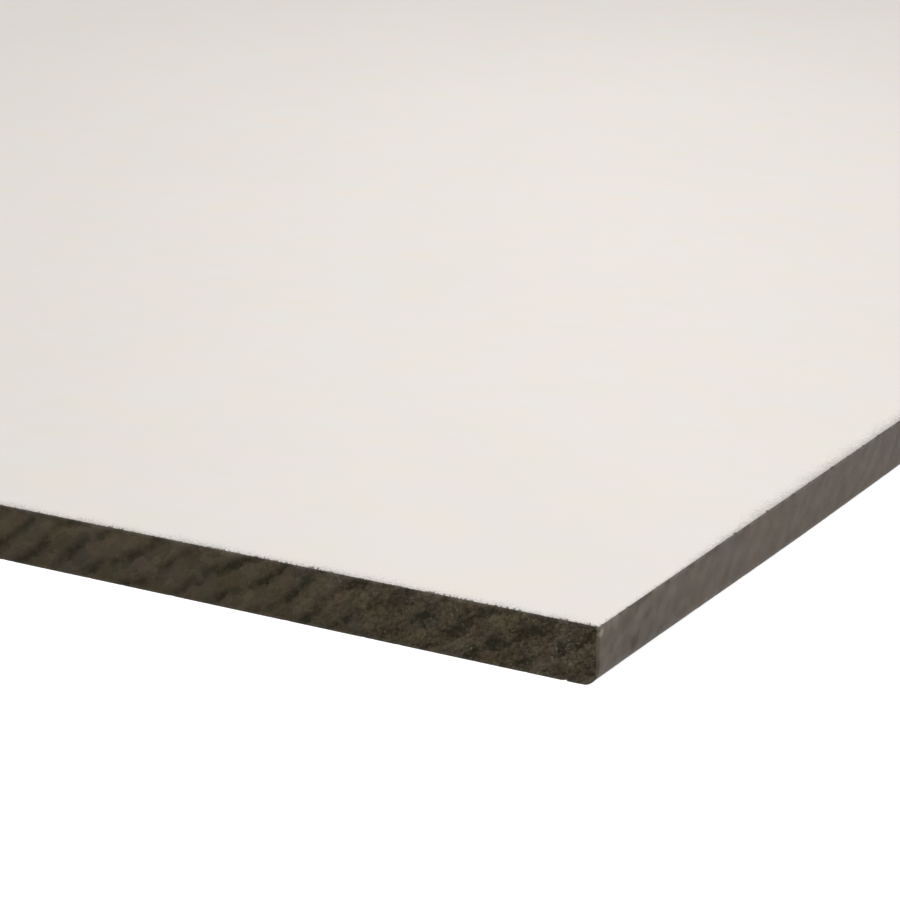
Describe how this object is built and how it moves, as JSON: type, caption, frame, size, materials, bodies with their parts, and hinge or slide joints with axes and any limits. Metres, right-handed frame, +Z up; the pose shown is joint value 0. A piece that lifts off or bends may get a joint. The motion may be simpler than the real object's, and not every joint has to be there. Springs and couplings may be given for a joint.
{
  "type": "compact laminate sheet",
  "caption": "Full stock sheet of solid compact laminate, thin and flat, with a matte off-white decor face on each side and bare dark brown sawn edges.",
  "frame": {"origin": "middle of the underside, on the floor that the sheet lies on", "axes": "+X along the 2.44 m length, +Y across the 1.22 m width, +Z up through the thickness, out of the upper decor face"},
  "size_m": [2.44, 1.22, 0.01],
  "materials": {
    "decor_face": "matte",
    "sawn_edge": "matte"
  },
  "bodies": {
    "root": {"sheet": "decor_face"}
  },
  "joints": []
}
